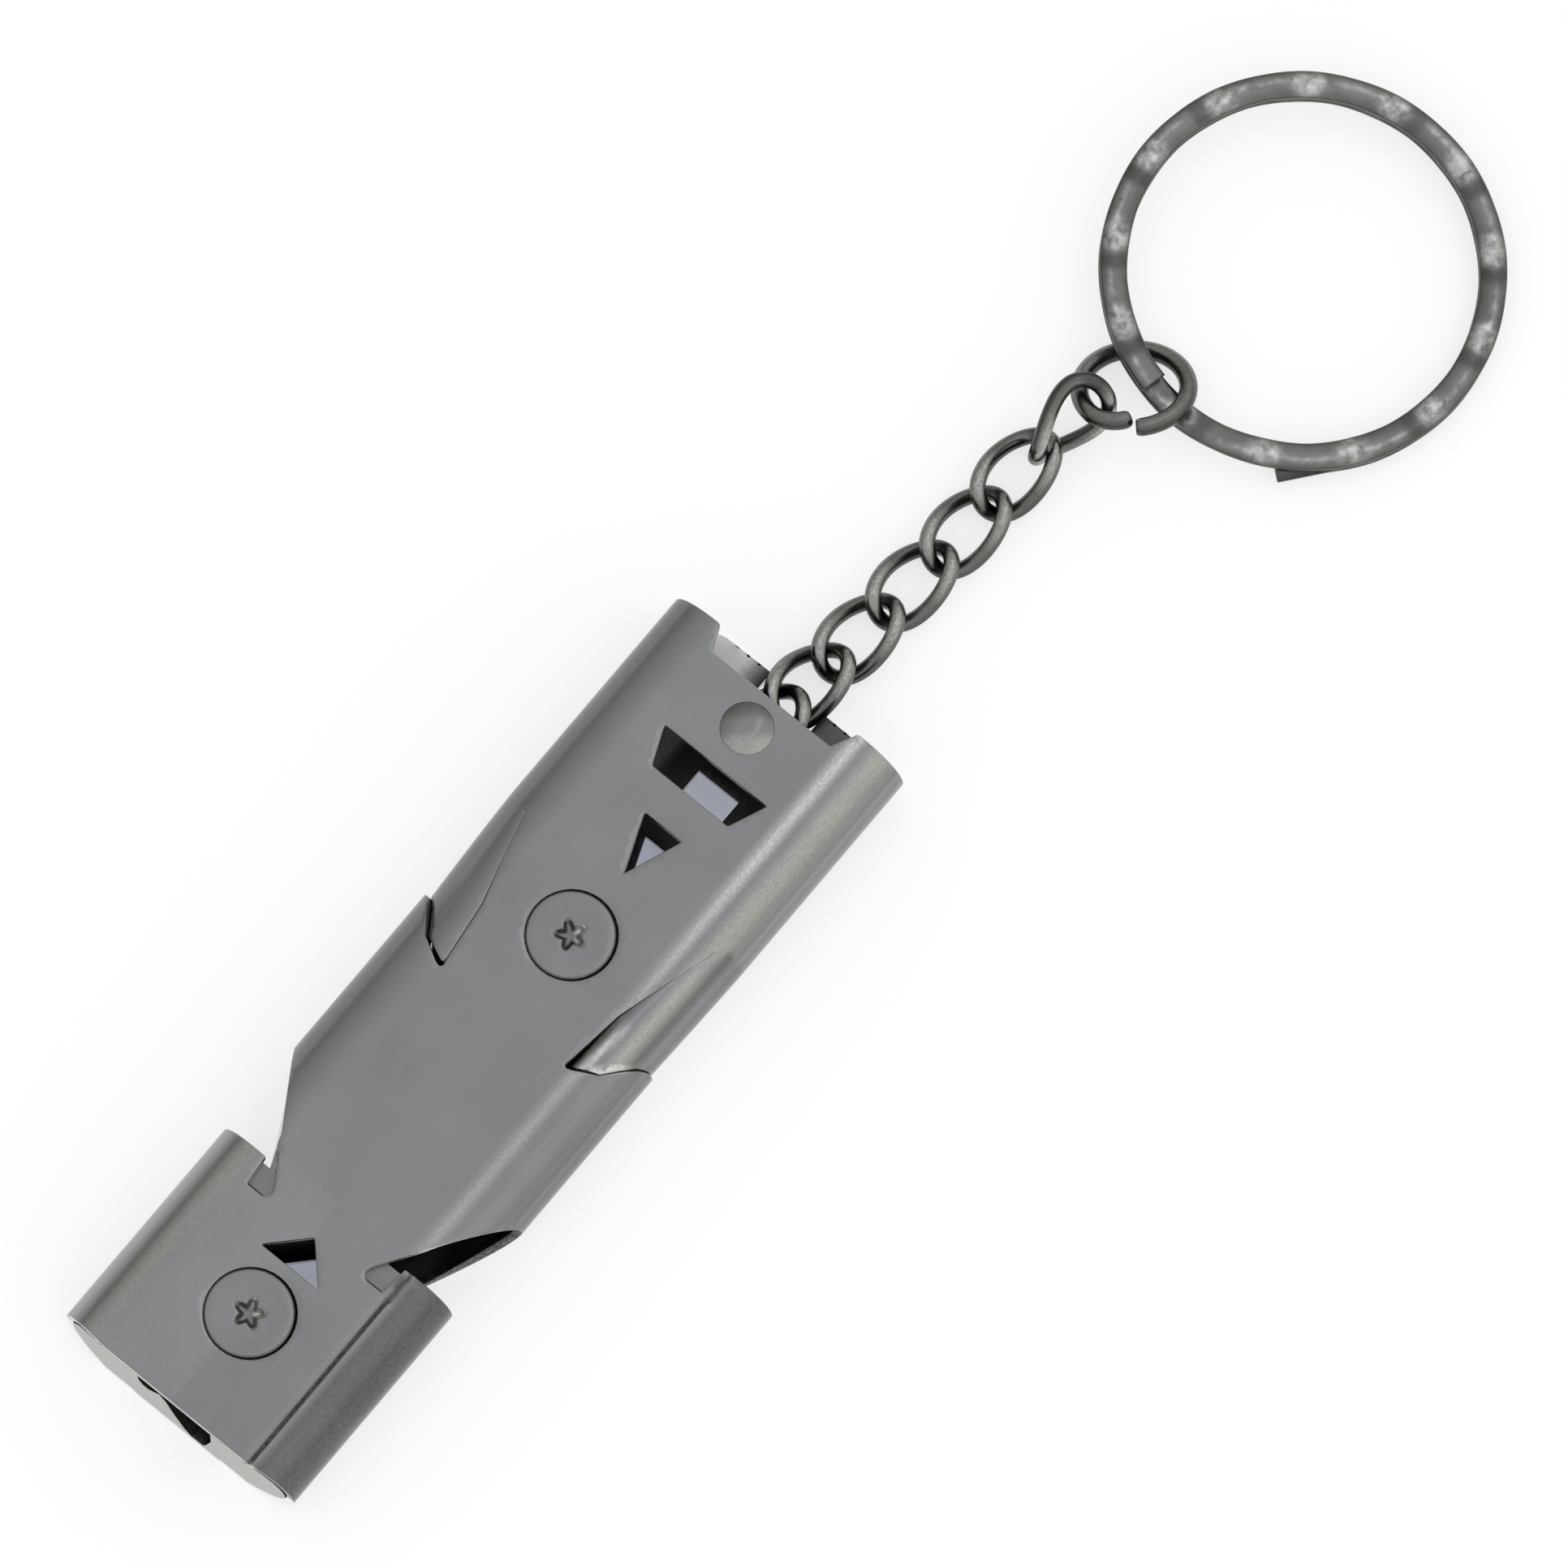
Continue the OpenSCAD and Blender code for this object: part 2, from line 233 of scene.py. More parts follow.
def make_object(name, verts, faces, mat, marks):
    """A smooth-shaded piece from points in millimetres; marks rate each point, outside and then inside."""
    mesh = bpy.data.meshes.new(name)
    mesh.from_pydata([Vector(v) * MM for v in verts], [], faces)
    mesh.update()
    mesh.polygons.foreach_set("use_smooth", [True] * len(mesh.polygons))
    for k, mark in enumerate((OUTSIDE + INSIDE)[:len(marks[0])]):
        attr = mesh.attributes.new(mark, "FLOAT", "POINT")
        attr.data.foreach_set("value", [m[k] for m in marks])
    mesh.materials.append(mat)
    obj = bpy.data.objects.new(name, mesh)
    bpy.context.scene.collection.objects.link(obj)
    return obj


def finish_piece(obj, body, slot, *nodes):
    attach(obj, body)
    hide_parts(*nodes)


def rise(v, a, b):
    """Smooth step from 0 at a to 1 at b."""
    t = min(1.0, max(0.0, (v - a) / (b - a)))
    return t * t * (3 - 2 * t)


def divided(points, step):
    """A closed outline with extra points so that none are further apart than step."""
    out = []
    for i, p in enumerate(points):
        q = points[(i + 1) % len(points)]
        n = max(1, math.ceil(math.dist(p, q) / step))
        out += [(p[0] + (q[0] - p[0]) * k / n, p[1] + (q[1] - p[1]) * k / n) for k in range(n)]
    return out


def inside(points, outline):
    """Which of the points lie inside the outline."""
    px, py = points[:, 0], points[:, 1]
    hit = np.zeros(len(points), bool)
    for i, (x0, y0) in enumerate(outline):
        x1, y1 = outline[(i + 1) % len(outline)]
        if y0 == y1:
            continue
        crosses = (y0 > py) != (y1 > py)
        hit ^= crosses & (px < (x1 - x0) * (py - y0) / (y1 - y0) + x0)
    return hit


def clear_of(points, outline, gap):
    """Which of the points are further than gap from the outline."""
    a = np.array(outline)
    b = np.roll(a, -1, axis=0)
    ok = np.ones(len(points), bool)
    for p, q in zip(a, b):
        d = q - p
        t = np.clip(((points - p) @ d) / max(d @ d, 1e-12), 0, 1)
        ok &= np.hypot(*(points - p - t[:, None] * d).T) > gap
    return ok


def patch(outline, holes, step, grid, lines):
    """Triangles that fill an outline with holes, with grid points and extra lines (u, from x, to x) inside."""
    loops = [divided(o, step) for o in [outline] + holes]
    lo, hi = np.min(loops[0], axis=0), np.max(loops[0], axis=0)
    gx, gy = np.meshgrid(np.arange(lo[0], hi[0], grid[0]), np.arange(lo[1], hi[1], grid[1]))
    gx[1::2] += grid[0] / 2
    pts = np.stack([gx.ravel(), gy.ravel()], 1)
    keep = inside(pts, loops[0])
    for h in loops[1:]:
        keep &= ~inside(pts, h)
    pts = pts[keep]
    for o in loops:
        pts = pts[clear_of(pts, o, 0.6 * min(grid))]
    for u, x0, x1 in lines:
        pts = pts[(pts[:, 0] < x0 - 0.2) | (pts[:, 0] > x1 + 0.2) | (abs(pts[:, 1] - u) > 0.3)]
    verts, edges = [], []
    for o in loops:
        first = len(verts)
        verts += o
        edges += [(first + i, first + (i + 1) % len(o)) for i in range(len(o))]
    for u, x0, x1 in lines:
        n = math.ceil((x1 - x0) / step)
        first = len(verts)
        verts += [(x0 + (x1 - x0) * k / n, u) for k in range(n + 1)]
        edges += [(first + k, first + k + 1) for k in range(n)]
    verts += [tuple(p) for p in pts]
    out = geometry.delaunay_2d_cdt([Vector(v) for v in verts], edges, [], 0, 1e-5)
    pos = np.array([tuple(v) for v in out[0]])
    mids = np.array([pos[list(f)].mean(0) for f in out[2]])
    good = inside(mids, loops[0])
    for h in loops[1:]:
        good &= ~inside(mids, h)
    return pos, [f for f, g in zip(out[2], good) if g]


def tube_point(x, u):
    """Point on the tube's outside: u runs from the middle of the top round one side to the bottom."""
    if u <= FLAT_Y:
        return (x, u, TOP_Z), (0, 0, 1)
    if u >= FLAT_Y + ARC:
        return (x, HALF_ROUND - u, 0.0), (0, 0, -1)
    t = (u - FLAT_Y) / SIDE_R
    return (x, FLAT_Y + SIDE_R * math.sin(t), SIDE_R + SIDE_R * math.cos(t)), (0, math.sin(t), math.cos(t))


def top_u(y):
    return y if y <= FLAT_Y else FLAT_Y + SIDE_R * math.asin(min(1.0, (y - FLAT_Y) / SIDE_R))


def low_u(y):
    return HALF_ROUND - top_u(y)


def cut(points, side):
    """A straight-sided cut seen from above, laid on the top or the bottom of the tube."""
    step = 0.25
    out = []
    for (x0, y0), (x1, y1) in zip(points, points[1:]):
        n = max(1, math.ceil(math.hypot(x1 - x0, side(y1) - side(y0)) / step))
        for k in range(n):
            s = k / n
            u = side(y0) + (side(y1) - side(y0)) * s
            y = y_of(u)
            f = (y - y0) / (y1 - y0) if abs(y1 - y0) > 0.05 else s
            out.append((x0 + (x1 - x0) * f, u))
    return out + [(points[-1][0], side(points[-1][1]))]


def y_of(u):
    return tube_point(0, u)[0][1]


def circle(x, u, r, a0, a1, n):
    sweep = [math.radians(a0 + (a1 - a0) * k / n) for k in range(n + 1)]
    return [(x + r * math.cos(t), u + r * math.sin(t)) for t in sweep]


def half_circle(x, u, r, up):
    """Round hole cut by the middle line, as the points of the outline along +X or -X."""
    n = 18
    sweep = [math.pi * (1 - k / n if up else k / n) for k in range(n + 1)]
    sign = 1 if up else -1
    return [(x + r * math.cos(t), u + sign * r * math.sin(t)) for t in sweep]


# Body sleeve: one sheet, unrolled, cut, rolled up again and given its thickness

def mouth_edge(u):
    """The mouth end stands out a little further at the flats than at the round sides."""
    return -HALF_LEN - 0.45 * min(1.0, max(0.0, (9.1 - y_of(u)) / 3.5))


def chain_edge(u):
    """The bottom sheet reaches out in two tabs beside the chain."""
    return HALF_LEN + 0.8 * min(1.0, max(0.0, (9.1 - y_of(u)) / 3.7))


def slit_u(x):
    """Line of the long slit of a side tongue."""
    return top_u(4.84 + (x - 1.75) * 0.126) if x < 6.2 else top_u(5.4 + (x - 6.2) * 0.2926)


def sheet_marks(x, u, side):
    """Painted light and shade, outside, then inside and on the edges; side is 1 on the left and -1 on the right."""
    y = y_of(u)
    hood = x < HOOD_X
    if u > SIDE_U:
        # Lower half: the round side painted darker towards the bottom as shade
        painted_shade = (0.0 if hood else 0.42) if side > 0 else (0.6 if hood else 0.35)
        painted_shade *= rise(y, 7.2, 8.6)
        # Mouth end: the inside painted lit away from the middle
        if x < -28.6:
            return 0.0, painted_shade, (1.5 if y > 3.4 else 0.0), 0.0
        # Chain end: the inside of the left tab painted lit, a little on the right
        if x > 25.5:
            return 0.0, painted_shade, rise(x, 25.5, 27.0) * (1.7 * rise(y, 2.0, 5.2) if side > 0 else 0.15), 0.0
        # By the sound windows the inside is painted lit on the left and painted shade on the right
        if y > 5.0 and abs(x + 13.6 - 2.0 * (y - 5.9)) < 1.2 and x < -7.0:
            return (0.0, painted_shade, 0.8, 0.0) if side > 0 else (0.0, painted_shade, 0.0, 0.85)
        # Inside of the bottom beside the tool slot painted lit
        if side > 0 and 20.0 < x < 25.0:
            return 0.0, painted_shade, 0.55 * rise(y, 3.2, 4.1) * (1 - rise(y, 5.5, 6.5)), 0.0
        # Elsewhere the inside and cut edges get the same painted shade
        return 0.0, painted_shade, 0.0, painted_shade
    # Mouth end, right: painted shade along the fold line and down the side
    if hood and side < 0:
        wear_and_sheen = 0.0
        painted_shade = 0.85 if abs(u - FOLD_U) < 0.13 else 0.45 * rise(y, 6.2, 6.45) + 0.15 * rise(y, 7.7, 8.4)
    # Mouth end, left: a painted lighter band, then a painted dark band down the side
    elif hood:
        wear_and_sheen = 0.05 + 0.24 * rise(y, 5.6, 6.6) * (1 - 0.8 * rise(y, 7.0, 7.6))
        painted_shade = 0.3 * rise(y, 7.3, 7.7) * (1 - rise(y, 7.9, 8.4))
    # Right: painted highlight along the crease, a painted lighter band down the side towards the ring end, painted
    # shade near the bottom
    elif side < 0:
        wear_and_sheen = (0.32 + 0.5 * rise(x, 4.0, 22.0)) * math.exp(-((y - 5.62) / 0.4) ** 2)
        wear_and_sheen += 0.3 * rise(x, 3.0, 9.0) * rise(y, 6.2, 7.1) * (1 - 0.5 * rise(y, 7.8, 8.2))
        painted_shade = max(0.35 * math.exp(-((y - 8.45) / 0.2) ** 2), 0.35 * rise(y, 8.5, 8.9))
    # Left: painted darker down the side as shade; by the left tongue the inside and cut edges are painted dark
    else:
        wear_and_sheen, painted_shade = 0.0, 0.42 * rise(y, 7.2, 8.2)
        if 1.0 < x < 13.8 and y > 4.6:
            return wear_and_sheen, painted_shade, wear_and_sheen, 0.8
    return wear_and_sheen, painted_shade, wear_and_sheen, painted_shade


def sheet_outline():
    """Half of the sheet, from the middle of the top round one side to the middle of the bottom."""
    arc = [SIDE_U + (top_u(5.6) - SIDE_U) * k / 12 for k in range(13)]
    # Top: screw hole, triangle, screw hole, triangle, tool slot, chain end
    out = [(mouth_edge(0.0), 0.0)]
    out += half_circle(SCREW_X[0], 0.0, HEAD_HOLE_R, True)
    out += [(-18.53, 0.0), (-18.53, 2.25), (-16.16, 0.0)]
    out += half_circle(SCREW_X[1], 0.0, HEAD_HOLE_R, True)
    out += [(13.2, 0.0), (16.95, 1.46), (16.95, 0.0)]
    out += [(19.47, 0.0), (19.47, 2.98), (21.95, 4.03), (21.95, 0.0)]
    out += [(27.3, 0.0)]
    out += cut([(27.3, 4.6), (28.3, 5.12), (28.9, 5.4), (28.97, 5.6), (29.02, 9.0)], top_u)
    # Bottom: tab beside the chain, rivet hole, tool slot, triangles, mouth end
    out += [(chain_edge(u), HALF_ROUND - u) for u in arc[1:]]
    out += [(29.8, low_u(2.1)), (26.7, low_u(2.1)), (26.7, HALF_ROUND)]
    out += half_circle(RIVET_X, HALF_ROUND, RIVET_HOLE_R, False)
    out += [(22.2, HALF_ROUND), (22.2, low_u(1.57)), (19.6, low_u(1.57)), (19.6, HALF_ROUND)]
    out += [(16.95, HALF_ROUND), (16.95, low_u(1.46)), (13.2, HALF_ROUND)]
    out += [(-16.16, HALF_ROUND), (-18.53, low_u(2.25)), (-18.53, HALF_ROUND)]
    out += [(mouth_edge(0.0), HALF_ROUND)]
    out += [(mouth_edge(u), HALF_ROUND - u) for u in reversed(arc)]
    return out + [(mouth_edge(u), u) for u in arc[1:]]


def window_outline():
    """Sound window, from the top round the side to the bottom."""
    out = [(-16.2, 4.25)]
    out += cut([(-16.2, 5.3), (-14.2, 5.5), (-14.0, 9.0)], top_u)
    out += cut([(-14.0, 9.0), (-14.2, 5.5), (-16.2, 5.3), (-16.2, 4.4), (-15.6, 5.0), (-13.6, 5.9), (-7.4, 9.0)],
        low_u)[1:]
    out += cut([(-7.4, 9.0), (-15.3, 3.86)], top_u)[1:]
    return out + circle(-15.7, 4.25, 0.5, 315, 190, 8)


def both_halves(line):
    """A line on the tube's upper half, carried on over the lower half."""
    return line + [(x, HALF_ROUND - u) for x, u in reversed(line)][1:]


def tongue_outlines():
    """The cut round a side tongue, and the tongue itself, a little shorter at its tip."""
    steps, slit_end = 36, 1.95
    xs = [HINGE_X + (slit_end - HINGE_X) * k / steps for k in range(steps + 1)]
    long_side = [(x, slit_u(x)) for x in xs]
    slit = long_side + circle(1.85, 5.05, 0.22, 270, 130, 5)
    slit += cut([(1.7, 5.3), (2.6, 6.95), (4.5, 8.4), (5.03, 9.0)], top_u)
    edge = long_side[:-1] + cut([(1.98, 4.95), (1.98, 5.2), (2.68, 6.95), (4.58, 8.4), (5.11, 9.0)], top_u)
    return both_halves(slit), both_halves(edge)


def on_tube(x, u, side):
    """Place on the rolled sheet, with the fold line pressed into the right of the mouth end."""
    p, n = tube_point(x, u)
    fold_end, depth, width = -15.2, 0.1, 0.1
    groove = 0.0
    if x < fold_end and u < SIDE_U and side < 0:
        groove = depth * math.exp(-((u - FOLD_U) / width) ** 2) * min(1.0, fold_end - x)
    return Vector(p) - groove * Vector(n)


def press(x, u):
    """How far along the tongue a point is, and how far from its long slit."""
    s = max(0.0, (HINGE_X - x) / (HINGE_X - TIP_X))
    return s, min(u, HALF_ROUND - u) - slit_u(max(x, TIP_X))


def on_tongue(x, u, side):
    """Pressed in: deepest at the tip, and on the right rolled down along the long slit."""
    p, n = tube_point(x, u)
    s, w = press(x, u)
    if side < 0:
        roll = 1 - min(1.0, max(0.0, w / 1.3))
        depth = 0.34 * s ** 1.2 + 0.5 * s ** 1.6 * roll * roll
    else:
        depth = s ** 1.2 * (0.2 + 0.36 * rise(w, 0.2, 2.6))
    return Vector(p) - depth * Vector(n)


def tongue_marks(x, u, side):
    """Painted light and shade of a tongue, as for the sheet."""
    s, w = press(x, u)
    y = y_of(u)
    # Left tongue: painted darker down the side, inside and cut edges painted dark
    if side > 0:
        return 0.0, 0.42 * rise(y, 7.2, 8.2), 0.0, 0.8
    # Right tongue: painted highlights at the tip, along the crest beside the slit and in a band down the side;
    # painted shade in the pressed-in wedge by the slit and near the bottom
    front = 1.98 + 0.4 * (y - 5.2) if y < 6.95 else 2.68 + 1.31 * (y - 6.95)
    tip = rise(y, 6.0, 6.8) * (1 - rise(y, 7.6, 8.4)) * (1 - rise(x - front, 0.1, 0.4))
    streak = rise(s, 0.58, 0.76) * math.exp(-((w - 0.85) / 0.22) ** 2)
    band = 0.35 * math.exp(-((y - 7.25) / 0.45) ** 2)
    shade = 0.75 * rise(s, 0.45, 0.85) * (1 - rise(w, 0.25, 0.65))
    wear_and_sheen = max(1.2 * streak, 2.2 * tip, band)
    painted_shade = max(shade, 0.4 * math.exp(-((y - 8.2) / 0.22) ** 2), 0.35 * rise(y, 8.5, 8.9))
    return wear_and_sheen, painted_shade, wear_and_sheen, painted_shade


def sleeve():
    gap, tongue = tongue_outlines()
    # Extra lines give the groove of the fold line enough points
    folds = [(u, -29.2, -16.5) for u in (5.7, 5.8, 5.9, 6.0, 6.1)]
    verts, faces, marks = [], [], []
    for loop, holes, place, rate, lines in (
            (sheet_outline(), [window_outline(), gap], on_tube, sheet_marks, folds),
            (tongue, [], on_tongue, tongue_marks, ())):
        pos, tris = patch(loop, holes, 0.3, (0.55, 0.35), lines)
        for side in (1, -1):
            first = len(verts)
            for x, u in pos:
                p = place(float(x), float(u), side)
                verts.append((p.x, side * p.y, p.z))
                marks.append(rate(float(x), float(u), side))
            for f in tris:
                f = [first + i for i in f]
                faces.append(f if side > 0 else f[::-1])
    obj = make_object("sleeve", verts, faces, SLEEVE, marks)
    obj.data.materials.append(SLEEVE_IN)
    obj.data.materials.append(SLEEVE_CUT)
    bm = bmesh.new()
    bm.from_mesh(obj.data)
    bmesh.ops.remove_doubles(bm, verts=bm.verts, dist=0.01 * MM)
    bmesh.ops.recalc_face_normals(bm, faces=bm.faces)
    top = max(bm.faces, key=lambda f: f.calc_center_median().z)
    if top.normal.z < 0:
        bmesh.ops.reverse_faces(bm, faces=bm.faces)
    bm.to_mesh(obj.data)
    bm.free()
    solid = obj.modifiers.new("thickness", "SOLIDIFY")
    solid.thickness = WALL * MM
    solid.offset = -1
    solid.material_offset = 1
    solid.material_offset_rim = 2
    round_off = obj.modifiers.new("deburred edges", "BEVEL")
    round_off.width = 0.07 * MM
    round_off.segments = 2
    round_off.limit_method = "ANGLE"
    round_off.angle_limit = math.radians(50)
    round_off.use_clamp_overlap = False
    obj.modifiers.new("even shading", "WEIGHTED_NORMAL").keep_sharp = True
    finish_piece(obj, "whistle", "sleeve_steel", "body_sleeve")


sleeve()


# Screws and rivet

def ring_at(r, z, n, turn=0.0):
    """n points round Z."""
    angles = [2 * math.pi * k / n + turn for k in range(n)]
    return [(r * math.cos(t), r * math.sin(t), z) for t in angles]


def capped(rings):
    """Points and faces through rings of points, closed at both ends."""
    n = len(rings[0])
    faces = []
    for i in range(len(rings) - 1):
        for k in range(n):
            a, b = i * n + k, i * n + (k + 1) % n
            faces.append((a, b, b + n, a + n))
    faces.append(tuple(range((len(rings) - 1) * n, len(rings) * n)))
    faces.append(tuple(reversed(range(n))))
    return [p for ring in rings for p in ring], faces


def screw(name, x, node, turn):
    """Flat head with a five-lobed recess."""
    n, face_z = 120, 6.985
    shank_and_head = ((1.25, 2.0), (1.25, 5.5), (2.78, 6.62), (2.84, 6.72), (2.81, 6.83), (2.76, 6.92), (2.7, 6.965),
        (2.62, face_z))
    recess = ((1.15, 6.983), (1.08, 6.965), (1.0, 6.92), (0.92, 6.84), (0.82, 6.72), (0.7, 6.6), (0.55, 6.51),
        (0.38, 6.46), (0.2, 6.44))
    # Rings of the head's edge, and the first two of the recess
    edge_rings, lip_ring, bowl_ring = range(3, 7), 12, 13

    def star(k, scale):
        t = 2 * math.pi * k / n
        r = 0.8 + 0.2 * math.cos(5 * t)
        return (scale * r * math.cos(t + turn), scale * r * math.sin(t + turn))

    rings = [ring_at(r, z, n, turn) for r, z in shank_and_head]
    rim, lip = rings[-1], [(*star(k, recess[0][0]), face_z) for k in range(n)]
    for f in (0.25, 0.5, 0.75, 0.9):
        rings.append([tuple((1 - f) * a + f * b for a, b in zip(rim[k], lip[k])) for k in range(n)])
    rings += [[(*star(k, scale), z) for k in range(n)] for scale, z in recess]
    verts, faces = capped(rings)
    marks = []
    for i, (a, b, c) in enumerate(verts):
        ring = i // n
        # Painted highlight on the right of the recess; painted shade round the head's edge and in the rest of the
        # recess
        lit = 0.8 * rise(RIGHT[0] * a + RIGHT[1] * b, 0.1, 0.45) if ring > bowl_ring else 0.0
        painted_shade = 0.6 if ring in edge_rings else 0.3 * (1 - lit) if ring > lip_ring else 0.0
        marks.append((lit, painted_shade))
    obj = make_object(name, [(x + a - 0.02, b + 0.05, c) for a, b, c in verts], faces, SCREW, marks)
    obj.modifiers.new("even shading", "WEIGHTED_NORMAL")
    finish_piece(obj, "whistle", "screw_steel", node)


screw("screw_mouth", SCREW_X[0], "mouth_screw", 0.35)
screw("screw_middle", SCREW_X[1], "middle_screw", 0.9)


def rivet():
    tail = [(0.02, 0.03), (0.95, 0.03), (1.0, 0.06), (0.76, 0.4)]
    shank = [(0.72, 0.7), (0.72, 6.9)]
    dome = [(1.68, 6.98), (1.68, 7.0), (1.62, 7.04), (1.5, 7.12), (1.35, 7.21), (1.15, 7.31), (0.95, 7.38),
        (0.75, 7.43), (0.55, 7.45), (0.35, 7.455), (0.18, 7.455), (0.02, 7.455)]
    verts, faces = capped([ring_at(r, z, 72) for r, z in tail + shank + dome])
    marks = []
    # Painted light on the side away from UP, painted shade on the side towards it
    for x, y, z in verts:
        lean = UP[0] * x + UP[1] * y
        marks.append((0.3 * rise(-lean, 0.25, 0.9), 0.35 * rise(lean, 0.1, 1.2)))
    obj = make_object("rivet", [(RIVET_X + x, y, z) for x, y, z in verts], faces, RIVET, marks)
    obj.modifiers.new("even shading", "WEIGHTED_NORMAL")
    finish_piece(obj, "whistle", "rivet_steel", "chain_rivet")


rivet()


# Inside blocks keep their CAD shape
for block, mat in (("mouth_block", BLOCK), ("chamber_block", STOP)):
    mesh = NODES[block].data
    mesh.materials.clear()
    mesh.materials.append(mat)


# Chain and rings: wire swept along a path

def wire(path, shape, closed, name, mat, rate):
    """shape(i) gives the section's points (across, up) at step i; rate gives each point's rubbing and painted
    highlight, then its painted shade.
    """
    n = len(path)
    pts = [Vector(p) for p in path]
    verts, marks = [], []
    m = len(shape(0))
    for i, p in enumerate(pts):
        a = pts[(i + 1) % n] if closed else pts[min(i + 1, n - 1)]
        b = pts[i - 1] if closed else pts[max(i - 1, 0)]
        t = (a - b).normalized()
        side = Vector((0, 0, 1)).cross(t).normalized()
        up = t.cross(side)
        for s, v in shape(i):
            verts.append(p + side * s + up * v)
            marks.append(rate(i, s, v))
    faces = []
    for i in range(n if closed else n - 1):
        k = (i + 1) % n
        for j in range(m):
            faces.append((i * m + j, k * m + j, k * m + (j + 1) % m, i * m + (j + 1) % m))
    if not closed:
        faces.append(tuple(range(m)))
        faces.append(tuple(range(n * m - 1, (n - 1) * m - 1, -1)))
    return make_object(name, verts, faces, mat, marks)


def round_section(d, m):
    """m points round a wire of diameter d."""
    angles = [2 * math.pi * j / m for j in range(m)]
    return [(d / 2 * math.cos(t), d / 2 * math.sin(t)) for t in angles]


def turned(rx, ry, rz):
    return (Matrix.Rotation(math.radians(rz), 4, "Z") @ Matrix.Rotation(math.radians(ry), 4, "Y")
        @ Matrix.Rotation(math.radians(rx), 4, "X"))


def put(obj, at, turn):
    """Turn a piece and move it from the origin to its place in the part."""
    obj.data.transform(Matrix.Translation(Vector(at) * MM) @ turned(*turn))
    obj.data.update()


# Places and turns of the links, as in the CAD source
LINKS = [
    ((26.56, -0.05, 1.85), (0, 0, -2)),
    ((30.505, -0.25, 1.645), (-0.5, 10.6, -3.6)),
    ((34.8, -0.67, 1.24), (0, 0, -5)),
    ((39.5, -1.08, 1.24), (0, 0, -5)),
    ((44.2, -1.46, 1.24), (0, 0, -3)),
    ((48.922, -1.61, 1.479), (0.157, -2.864, -2.715)),
    ((53.23, -2.153, 2.483), (53.321, -15.577, -3.864)),
]
JUMP_AT = (57.501, -3.894, 2.248)


def chain():
    d, m, steps = 1.0, 18, 112
    half_long, half_wide, twist = 2.95, 1.775, 0.74
    angles = [2 * math.pi * i / steps for i in range(steps)]
    path = [(half_long * math.cos(t), half_wide * math.sin(t), -twist * math.sin(2 * t)) for t in angles]

    # Strand tops lighter, most at the high parts, as rubbing with painted highlight; painted shade on the flanks and
    # at the low tips where the links hook
    def wear_and_light(i, s, v):
        t = angles[i]
        high, tip = -math.sin(2 * t), rise(abs(math.cos(t)), 0.7, 0.97)
        top, flank = max(0.0, 2 * v / d), abs(2 * s / d)
        wear_and_sheen = top ** 2 * (0.12 + 0.65 * max(0.0, high))
        painted_shade = max(0.6 * flank ** 4, (0.75 if s > 0 else 0.5) * tip * (1 - max(0.0, high)))
        return wear_and_sheen, min(0.9, painted_shade)

    for k, (at, turn) in enumerate(LINKS, 1):
        obj = wire(path, lambda i: round_section(d, m), True, f"link_{k}", CHAIN, wear_and_light)
        put(obj, at, turn)
        finish_piece(obj, f"chain_link_{k}", "chain_steel", f"chain_link_{k}")


chain()


def jump_ring():
    d, m, steps = 1.15, 20, 120
    first, turn, sprung_from = -142.5, 352, 0.86
    path = []
    for i in range(steps + 1):
        s = i / steps
        t = math.radians(first + turn * s)
        near = max(0.0, (s - sprung_from) / 0.14)
        r = 3.35 - 0.8 * near * near
        path.append((r * math.cos(t), r * math.sin(t), 0.0))

    def shape(i):
        from_end = min(i, steps - i)
        rounded = (0.8, 0.95, 1.0)[min(from_end, 2)]
        return round_section(rounded * d, m)

    # Wire tops lighter as rubbing with painted highlight, flanks painted shade
    obj = wire(path, shape, False, "jump_ring_wire", CHAIN,
        lambda i, s, v: (0.25 * max(0.0, 2 * v / d) ** 2, 0.6 * abs(2 * s / d) ** 4))
    put(obj, JUMP_AT, (-20.473, 22.257, 0))
    finish_piece(obj, "jump_ring", "chain_steel", "jump_ring")


jump_ring()


